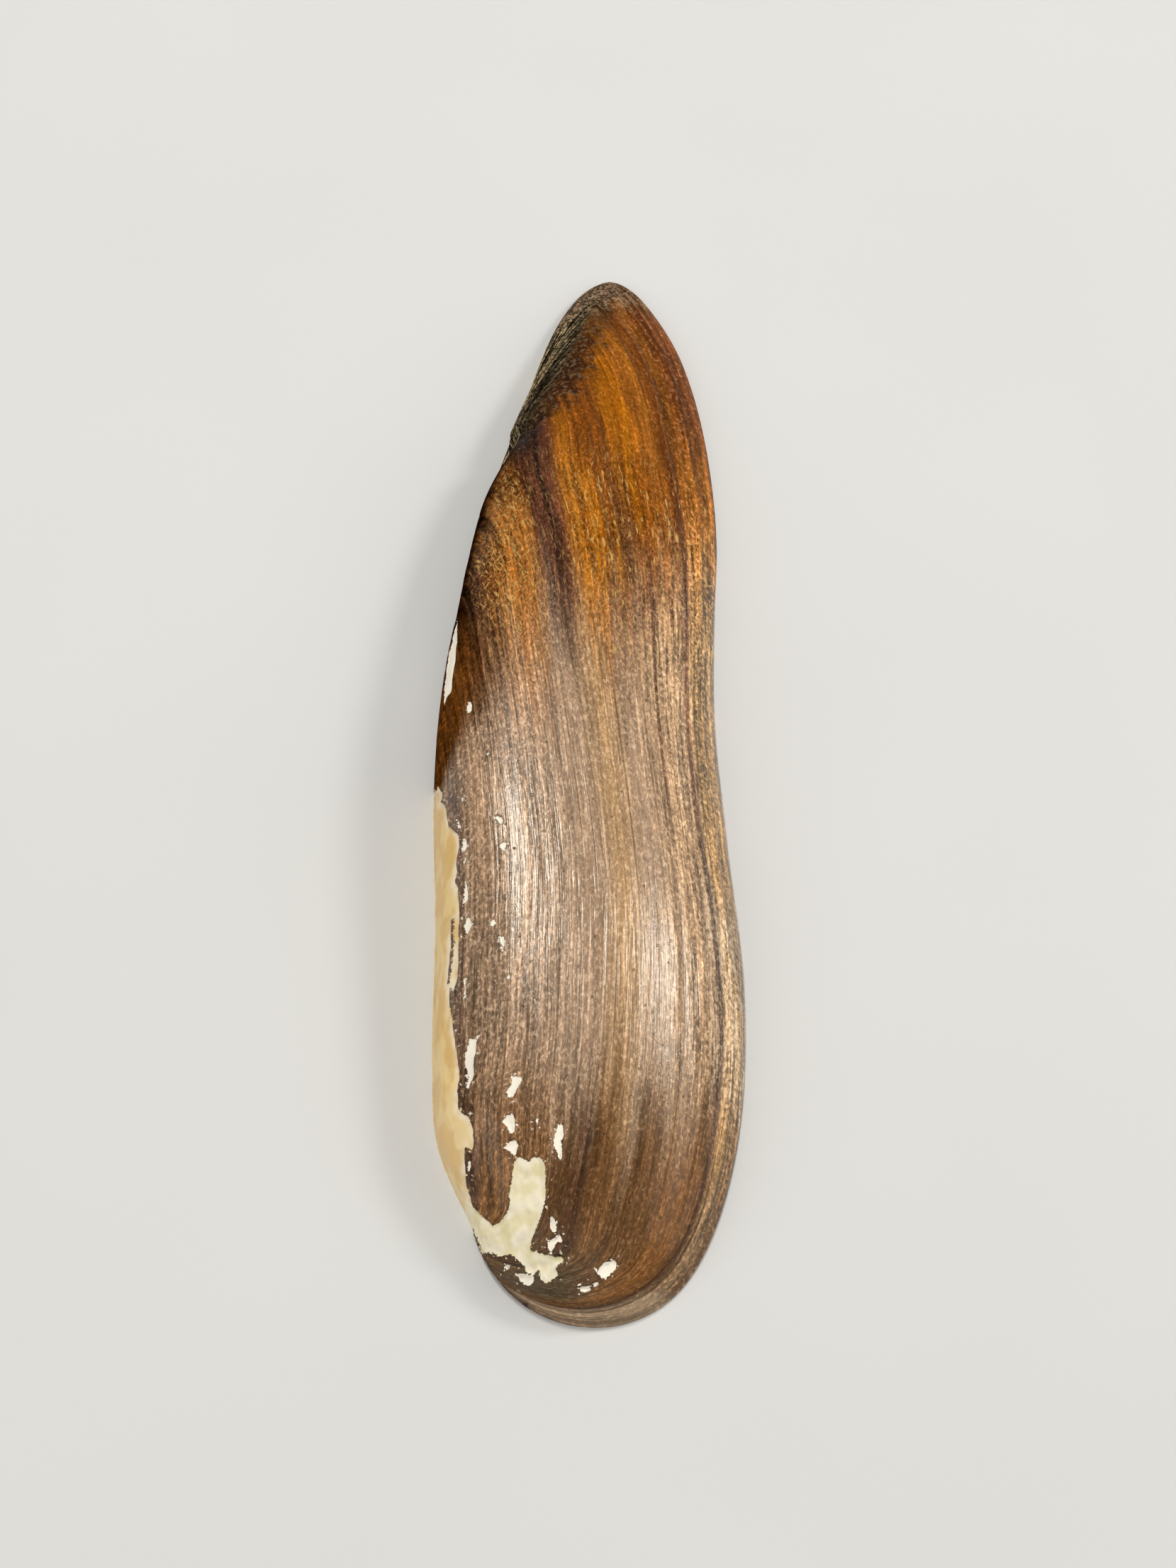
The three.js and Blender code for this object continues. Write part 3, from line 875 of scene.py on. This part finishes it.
def grain_shade(f, bright):
    """How light or dark the grains make the skin. They stir it more on the flanks than in the middle."""
    shade = (0.8 + 0.4 * f.blotch) * (0.94 + 0.2 * bright)
    for name, darkest, gain, low, high in GRAIN_SHADES:
        shade = shade * (darkest + gain * f.smooth(getattr(f, name), low, high))
    stir = 1 + 0.4 * f.aged(0.5, 0.3) + 0.3 * f.at(0.48, 0.6) + 0.25 * f.aged(0.88, 0.94)
    stir = stir + 0.5 * f.aged(0.7, 0.88) * f.between
    calm = f.at(*CALM) * f.aged(0.34, 0.42) * f.aged(0.76, 0.68)
    stir = stir - 0.2 * calm - 0.4 * f.at(0.7, 0.78)
    return shade.maths("MAXIMUM", 1 + (shade - 1) * stir, DARKEST)


def growth_marks(f):
    """Growth lines, from hair lines to broad bands, broken up into flecks, and small pits."""
    c = f.c
    bright = f.smooth(f.fleck, 0.54, 0.7)
    f.shade(grain_shade(f, bright))
    pale = bright * (0.06 + 0.28 * f.between + 0.06 * f.aged(0.9, 0.95))
    f.paint(pale * (1 - f.bark) * (1 - f.stain), c.fleck)
    # Painted highlight in threads along the belly margin; the very front margin is paler too
    margin_highlight_and_pale_front = f.highlight_zone * f.aged(0.86, 0.9) * f.smooth(f.hair, 0.3, 0.6)
    margin_highlight_and_pale_front = margin_highlight_and_pale_front * (0.25 + 0.75 * f.smooth(f.fleck, 0.4, 0.62))
    youngest = f.aged(*YOUNGEST)
    margin_highlight_and_pale_front = 0.75 * margin_highlight_and_pale_front * (1 - 0.85 * f.red) + 0.2 * f.at(0.03, 0.015) * youngest
    f.paint(margin_highlight_and_pale_front, c.fleck)
    f.dark_lines = f.smooth(f.grain(*DARK_LINES), 0.63, 0.7)
    f.paint(0.5 * f.dark_lines, dimmed(c.umber, 0.5))
    f.pale_lines = f.smooth(f.grain(*PALE_LINES), 0.62, 0.72)
    f.shade(1 + 0.55 * f.pale_lines)
    margin_lines = f.smooth(f.grain(*MARGIN_LINES), 0.4, 0.62)
    f.shade(1 + youngest * (0.75 * margin_lines - 0.3))
    cells = f.node("TexVoronoi", sockets={"Vector": f.scaled(f.place, (1.5,) * 3), "Scale": 1.0})
    f.pits = f.smooth(cells, 0.12, 0.06)
    f.paint(0.6 * f.pits, dimmed(c.umber, 0.35))


def slanting(f, degrees, length, width, shift, distortion):
    """Streaks at a slant to the length."""
    turned = f.node("Mapping", sockets={"Vector": f.place, "Rotation": (0, 0, math.radians(degrees))})
    return f.noise(f.scaled(turned, (length, width, length), shift), 2.0, 0.6, distortion)


def hind_fibres(f):
    """Short pale fibres, along and aslant to the growth lines, on the hind half, their gold partly painted
    glint.
    """
    aslant, leaning = (slanting(f, *slant) for slant in SLANTS)
    fibres = f.smooth(aslant, 0.57, 0.67) + f.smooth(leaning, 0.58, 0.68)
    fibres = fibres * (0.35 + 0.65 * f.aged(0.5, 0.42)) * f.aged(0.8, 0.7)
    fibres = fibres + f.smooth(f.grain(*UPRIGHT_FIBRES), 0.58, 0.7)
    zone = f.at(*FIBRE_ZONE) * (1 - f.bark) * (1 - 0.8 * f.stain)
    f.fibres = fibres * zone * (0.35 + 0.65 * f.smooth(f.from_dark, 0.03, 0.07))
    # The fibres' gold is partly their own colour, partly a painted glint
    f.paint(0.65 * f.fibres, f.c.gold)


def hind_slope(f):
    """The nick in the hinge edge, the hind ridge, which is nearly black, and the grey lamellae of the slope
    beyond it and of the tip."""
    c, share, beyond = f.c, f.share, f.beyond
    from_nick = abs(share - NICK[-1] + 0.006)
    f.paint(0.9 * f.smooth(from_nick, 0.009, 0.003) * f.smooth(f.over, 0.3, 0.12), c.rest_line)
    on_ridge = f.smooth(beyond + 0.1 * (f.middle - 0.5) + 0.24 * (f.blotch - 0.5), 0.18, 0.06)
    f.on_ridge = on_ridge * (1 - 0.3 * f.at(0.88, 0.94))
    f.paint(0.85 * f.on_ridge, dimmed(c.rest_line, 1.5))
    dust = f.smooth(f.specks(0.45, 2.0, 0.7), 0.5, 0.66) * f.at(0.74, 0.8)
    f.paint(0.6 * dust * f.on_ridge, c.slope)
    tip = f.smooth(share + 0.05 * (f.fleck - 0.5) - 0.03 * f.smooth(f.over, 0.3, 0.65), *TIP_ZONE)
    f.slope = f.either(f.smooth(beyond + 0.08 * (f.fine - 0.5), 0.02, -0.04), 0.85 * tip)
    f.lamellae = f.smooth(f.grain(*LAMELLAE) + 0.08 * tip, 0.46, 0.54)
    outer = f.either(f.smooth(beyond, -0.04, -0.16), f.at(0.92, 0.97))
    pale = f.mix(tip, dimmed(c.slope, 1.75), dimmed(c.taupe, 0.45))
    slope_tone = f.mix(f.lamellae, dimmed(c.slope, 0.12), f.mix(outer, dimmed(c.slope, 0.6), pale))
    f.grit = f.smooth(f.specks(0.3, 2.0, 0.7), 0.36, 0.64)
    crust = 0.55 + 0.9 * f.smooth(f.specks(0.8, 2.0, 0.7), 0.36, 0.64)
    f.paint(f.slope, f.shaded(slope_tone, (0.15 + 1.6 * f.grit) * crust))


def bare_shell(f):
    """The shell in the bare patches: chalky flakes, the beak patch's bone and the strip's mottled cream."""
    c, kind = f.c, f.kind
    shell = f.ramp(kind, [(0.0, c.chalk), (0.5, c.bone), (1.0, c.cream)])
    on_strip = f.smooth(kind, 0.7, 0.9)
    mottle = f.smooth(f.noise(f.scaled(f.place, (2.0, 3.5, 2.4), 9.0), 2.0, 0.6), 0.44, 0.58)
    shell = f.mix(0.8 * on_strip * (1 - mottle), shell, blend_of(c.cream, c.honey, 0.35))
    along_strip = f.smooth(f.noise(f.scaled(f.place, (1.5, 7.0, 1.5))), 0.3, 0.75)
    fringe = f.smooth(f.bare, -0.65, -0.1) * (0.3 + 0.7 * f.smooth(f.specks(1.8), 0.38, 0.56))
    pale = 0.55 * fringe + 0.08 * along_strip + 0.12 * f.at(0.22, 0.12) + 0.12 * mottle
    # Whiter patches on the flakes and the beak patch: partly chalk, partly painted highlights of its lumps
    lumps = f.smooth(f.specks(1.2) + 0.04 * f.at(0.09, 0.05), 0.4, 0.66) * f.smooth(kind, 1.0, 0.6)
    shell = f.mix(0.6 * lumps + pale * on_strip, shell, c.chalk)
    return f.shaded(shell, 0.75 + 0.5 * f.specks(2.0), 0.4)


def worn_patches(f):
    """The bare patches and the crumbs beside them, with a dark line where the skin ends."""
    ragged = f.bare + (f.specks(0.24, 2.0, 0.6) - 0.5) * 0.32
    crumbs = f.smooth(f.specks(0.36, 1.0), 0.66, 0.7) * f.smooth(f.bare, 0.6, 0.1) * f.at(0.48, 0.42)
    f.inside = f.either(f.smooth(ragged, 0.03, -0.03), crumbs)
    # Dark line where the skin ends: partly its dark lifted edge, partly painted shadow of the step
    skin_end = f.smooth(ragged, 0.16, 0.04) * f.smooth(f.specks(1.2), 0.4, 0.6)
    f.paint(0.3 * skin_end, f.c.rest_line)
    f.paint(f.inside, bare_shell(f))


def skin_material(colours):
    """The brown skin of the back, with its bare patches."""
    f = Skin(colours)
    for layer in (ground, rest_lines, hinge_bark, growth_marks, hind_fibres, hind_slope, worn_patches):
        layer(f)
    rough = 0.17 + 0.1 * f.fine + 0.25 * f.slope
    rough = rough * (1 - f.inside) + f.inside * (0.42 - 0.1 * f.kind)
    lines = 0.25 * f.pale_lines - 0.2 * f.dark_lines - 0.5 * f.pits
    height = 0.22 * f.fleck + 0.5 * f.fine + 0.6 * f.hair + 0.4 * f.middle + lines
    height = height * (1 - 0.85 * f.inside) + 0.5 * f.fibres + 0.1 * f.inside * f.specks(0.35)
    height = height + f.slope * (0.6 * f.lamellae + 0.5 * f.grit)
    glossy = (1 - f.bark) * (1 - 0.8 * f.stain) * (1 - 0.9 * f.notch) * (1 - f.slope) * (1 - 0.9 * f.on_ridge)
    glossy = glossy * (1 - 0.78 * f.behind) * (1 - 0.5 * f.before)
    sockets = {
        "Base Color": f.tone, "Roughness": rough, "IOR": 1.5,
        "Specular IOR Level": 0.45, "Specular Tint": (1.0, 0.93, 0.8, 1.0),
    }
    return f.finish(sockets, height, 0.06 * MM, matte=(1 - glossy) * (1 - f.inside))


def lining_material(colours):
    """The pearly lining and the margin."""
    c = palette(colours)
    f = Finish("mussel_lining")
    soft = f.specks(7.0)
    bands = f.grain(0.5, 9.0)
    tone = f.mix(f.smooth(f.value("share") + 0.25 * soft, 0.5, 0.2), c.pearl, c.blush)
    tint = f.ramp(f.grain(2.2, 18.0), [
        (0.3, linear("d6e0e6")), (0.45, linear("efe9e2")), (0.58, linear("ecd9d6")), (0.7, linear("dbe4d8")),
    ])
    tone = f.shaded(f.mix(0.35, tone, tint), 0.75 + 0.5 * bands, 0.3)
    tone = f.mix(f.smooth(f.value("edge") + 0.3 * (bands - 0.5), 0.32, 0.05), tone, dimmed(c.bark, 1.4))
    sockets = {
        "Base Color": tone, "Roughness": 0.2 + 0.12 * soft, "IOR": 1.6,
        "Coat Weight": 0.5, "Coat Roughness": 0.12,
    }
    return f.finish(sockets, bands, 0.02 * MM)


class MUSSEL_OT_valve(bpy.types.Operator):
    """Model the valve: back, hollow and margin as one closed shell"""

    bl_idname = "mussel.valve"
    bl_label = "Valve"

    SOCKETS = ((0.13, 0.2), (0.42, 0.7))  # shares of the length where the hinge teeth leave a groove
    RUN_OUT = 0.02  # share of the length over which a groove fades
    SOCKET_ROUNDING = 0.8
    WORN = 0.45  # share of the length, from the front, where the bare patches need closer rows
    WORN_FADE = 0.1
    CROWDING = 0.7  # how much closer they lie there
    END_CROWDING = 2.5  # and at both ends
    END = 0.03
    SLOPE_OPENS = (0.745, 0.805)  # shares of the length over which the hind slope opens out
    BEFORE_SLOPE = (0.76, 0.7)  # and in front of it
    SCARS = (  # of the shell muscles: share of the length, share across, half length, half width, edge, depth
        (0.13, 0.36, 0.045, 0.17, 0.75, 0.25), (0.76, 0.36, 0.05, 0.2, 0.7, 0.12),
    )
    MANTLE_LINE = (0.1, 0.16, 0.74, 0.86)  # shares of the length
    MANTLE_PLACE = 0.84  # share across
    HOLLOW_FADE = 1.2 * MM  # height over which the hollow's relief fades in above the margin
    INSIDE = 1.5  # millimetres from the edge, past the brown of the margin

    def execute(self, context):
        sizes = context.scene.mussel_valve
        colours = context.scene.mussel_skin
        draw = np.random.default_rng(SEED)
        shares = self.row_shares(sizes.rows)
        back, hollow = Arch(sizes, inner=False), Arch(sizes, inner=True)
        skin, lining = skin_material(colours), lining_material(colours)
        sheets = [
            self.back_sheet(back, shares, sizes.back_columns, skin, draw),
            self.hollow_sheet(hollow, shares, sizes.hollow_columns, lining, draw),
            self.rim_sheet("hinge_rim", back, hollow, shares, sizes, lining, 0),
            self.rim_sheet("belly_rim", back, hollow, shares, sizes, lining, 1),
        ]
        valve = self.joined(context, sheets)
        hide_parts(NODE)
        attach(valve, "root")
        return {"FINISHED"}

    def row_shares(self, rows):
        """Shares of the length of the rows of points."""
        place = np.linspace(0, 1, 4001)
        from_end = np.minimum(place, 1 - place)
        closeness = 1 + self.CROWDING * step(self.WORN, self.WORN - self.WORN_FADE, place)
        closeness = closeness + self.END_CROWDING * step(self.END, 0, from_end)
        walked = np.concatenate([[0], np.cumsum(closeness[1:] + closeness[:-1])])
        return np.interp(np.linspace(0, walked[-1], rows + 1), walked, place)

    def back_sheet(self, arch, shares, columns, material, draw):
        """The outside, with its growth ledges and worn places."""
        points, across = arch.points(shares, columns)
        share = np.broadcast_to(shares[:, None], across.shape)
        grown = growth(arch, shares, points, across)
        over = np.broadcast_to(np.linspace(0, 1, columns + 1), across.shape)
        bare, kind, peeled = bare_patches(points, over, draw)
        relief = back_relief(shares, across, grown, bare, kind, draw)
        faded = relief * step(0, FLAT_MARGIN, points[..., 2])
        points = points + normals_of(points) * faded[..., None]
        slope_end = ridge_over(shares, across) * step(*self.SLOPE_OPENS, share)
        beyond = over - slope_end + 0.1 * step(*self.BEFORE_SLOPE, share)
        return shaped_sheet(
            "back", points, material, grown=grown, share=share, over=over, beyond=beyond,
            bare=bare, kind=kind, peeled=peeled,
        )

    def hollow_sheet(self, arch, shares, columns, material, draw):
        """The inside, with the scars of the two shell muscles and the line of the mantle."""
        points, across = arch.points(shares, columns)
        share = np.broadcast_to(shares[:, None], across.shape)
        relief = 0.04 * wander(draw, share, across, 40, 14)
        for place, place_across, half_length, half_width, edge, depth in self.SCARS:
            away = np.hypot((share - place) / half_length, (across - place_across) / half_width)
            relief -= depth * step(1.0, edge, away)
        from_mantle_line = np.abs(across - self.MANTLE_PLACE)
        relief -= 0.06 * step(0.03, 0.01, from_mantle_line) * within(self.MANTLE_LINE, share)
        relief = MM * relief * step(0, self.HOLLOW_FADE, points[..., 2])
        points = points - normals_of(points) * relief[..., None]
        grown = growth(arch, shares, points, across)
        return shaped_sheet("hollow", points, material, grown=grown, share=share, edge=self.INSIDE)

    def rim_sheet(self, name, back, hollow, shares, sizes, material, side):
        """One half of the flat margin. Along the hinge it has the grooves between the teeth."""
        edges = (arch.edges(shares) for arch in (back, hollow))
        outer, inner = (np.stack([edge[side], edge[2]], 1) for edge in edges)
        t = np.linspace(0, 1, sizes.rim_columns + 1)
        flat = outer[:, None] + (inner - outer)[:, None] * t[None, :, None]
        share = np.broadcast_to(shares[:, None], flat.shape[:2])
        depth = np.zeros(flat.shape[:2])
        if side == 0:
            for start, end in self.SOCKETS:
                groove = within((start, start + self.RUN_OUT, end - self.RUN_OUT, end), share)
                depth = np.maximum(depth, groove)
            depth = depth * sizes.socket * (1 - np.abs(2 * t - 1)) ** self.SOCKET_ROUNDING
        points = np.concatenate([flat, depth[..., None]], axis=-1)
        edge = np.hypot(*np.moveaxis(inner - outer, -1, 0))[:, None] * t / MM
        return shaped_sheet(name, points, material, grown=0.5 + 0.5 * (1 - t), share=share, edge=edge)

    def joined(self, context, sheets):
        """The sheets as one closed shell, its faces pointing outwards."""
        bpy.ops.object.select_all(action="DESELECT")
        for sheet in sheets:
            sheet.select_set(True)
        context.view_layer.objects.active = sheets[0]
        bpy.ops.object.join()
        valve = context.active_object
        valve.name = valve.data.name = "mussel_valve"
        bpy.ops.object.mode_set(mode="EDIT")
        bpy.ops.mesh.select_all(action="SELECT")
        bpy.ops.mesh.remove_doubles(threshold=2e-6)
        bpy.ops.mesh.normals_make_consistent(inside=False)
        bpy.ops.object.mode_set(mode="OBJECT")
        bpy.ops.object.shade_smooth_by_angle(angle=math.radians(50))
        return valve


class MUSSEL_OT_stage(bpy.types.Operator):
    """Lay a pale floor and set the lights and the camera"""

    bl_idname = "mussel.stage"
    bl_label = "Stage"

    FLOOR = 3.0
    WORLD_LIGHT = 0.2
    LIGHTS = (  # name, direction from the shell, distance, width, watts
        ("left_softbox", (-0.22, 0.37, 0.9), 0.7, 0.13, 2.5),
        ("right_softbox", (0.73, 0.31, 0.6), 0.7, 0.15, 1.7),
        ("left_fill", (-0.75, -0.35, 0.55), 0.9, 0.6, 2.35),
        ("right_fill", (0.85, -0.15, 0.5), 0.9, 0.6, 1.75),
        ("front_fill", (0.1, -0.75, 0.65), 0.9, 0.7, 1.4),
    )

    def execute(self, context):
        stage = context.scene.mussel_stage
        self.floor(stage)
        for light in self.LIGHTS:
            self.softbox(*light)
        self.camera(context, stage)
        world = bpy.data.worlds.new("studio")
        world.use_nodes = True
        background = world.node_tree.nodes["Background"].inputs
        background["Color"].default_value = (1, 1, 1, 1)
        background["Strength"].default_value = self.WORLD_LIGHT
        context.scene.world = world
        context.scene.view_settings.view_transform = "Standard"
        return {"FINISHED"}

    def floor(self, stage):
        bpy.ops.object.select_all(action="DESELECT")
        bpy.ops.mesh.primitive_plane_add(size=self.FLOOR)
        floor = bpy.context.active_object
        floor.name = "floor"
        f = Finish("pale_floor")
        tone = f.shaded(list(stage.floor), 0.5 + f.specks(40.0), 0.06)
        sockets = {"Base Color": tone, "Roughness": 0.8}
        floor.data.materials.append(f.finish(sockets, f.specks(0.5), 0.01 * MM))

    def softbox(self, name, direction, distance_away, width, watts):
        bpy.ops.object.light_add(type="AREA")
        lamp = bpy.context.active_object
        lamp.name = name
        lamp.data.shape = "DISK"
        lamp.data.size = width
        lamp.data.energy = watts
        towards = Vector(direction).normalized()
        lamp.location = towards * distance_away
        lamp.rotation_euler = towards.to_track_quat("Z", "Y").to_euler()

    def camera(self, context, stage):
        turn = Euler((math.pi / 2 - stage.elevation, 0, -stage.azimuth)).to_matrix()
        turn = turn @ Matrix.Rotation(stage.roll, 3, "Z")
        bpy.ops.object.camera_add()
        camera = bpy.context.active_object
        camera.name = "photo_camera"
        camera.data.lens = stage.focal_length
        camera.data.clip_start = 1 * MM
        camera.rotation_euler = turn.to_euler()
        camera.location = Vector(stage.aim) + turn @ Vector((0, 0, stage.distance))
        context.scene.camera = camera


class MUSSEL_PT_panel(bpy.types.Panel):
    """The mussel's sizes, colours and steps"""

    bl_idname = "MUSSEL_PT_panel"
    bl_label = "Mussel valve"
    bl_space_type = "VIEW_3D"
    bl_region_type = "UI"
    bl_category = "Mussel"

    def draw(self, context):
        for place, group in GROUPS.items():
            box = self.layout.box()
            for name in group.__annotations__:
                box.prop(getattr(context.scene, place), name)
        self.layout.operator(MUSSEL_OT_valve.bl_idname)
        self.layout.operator(MUSSEL_OT_stage.bl_idname)


GROUPS = {"mussel_valve": ValveSettings, "mussel_skin": SkinSettings, "mussel_stage": StageSettings}
CLASSES = (*GROUPS.values(), MUSSEL_OT_valve, MUSSEL_OT_stage, MUSSEL_PT_panel)


def register():
    for each in CLASSES:
        bpy.utils.register_class(each)
    for place, group in GROUPS.items():
        setattr(bpy.types.Scene, place, PointerProperty(type=group))


def unregister():
    for place in GROUPS:
        delattr(bpy.types.Scene, place)
    for each in reversed(CLASSES):
        bpy.utils.unregister_class(each)


def main():
    register()
    bpy.ops.mussel.valve()
    bpy.ops.mussel.stage()


if __name__ == "__main__":
    main()
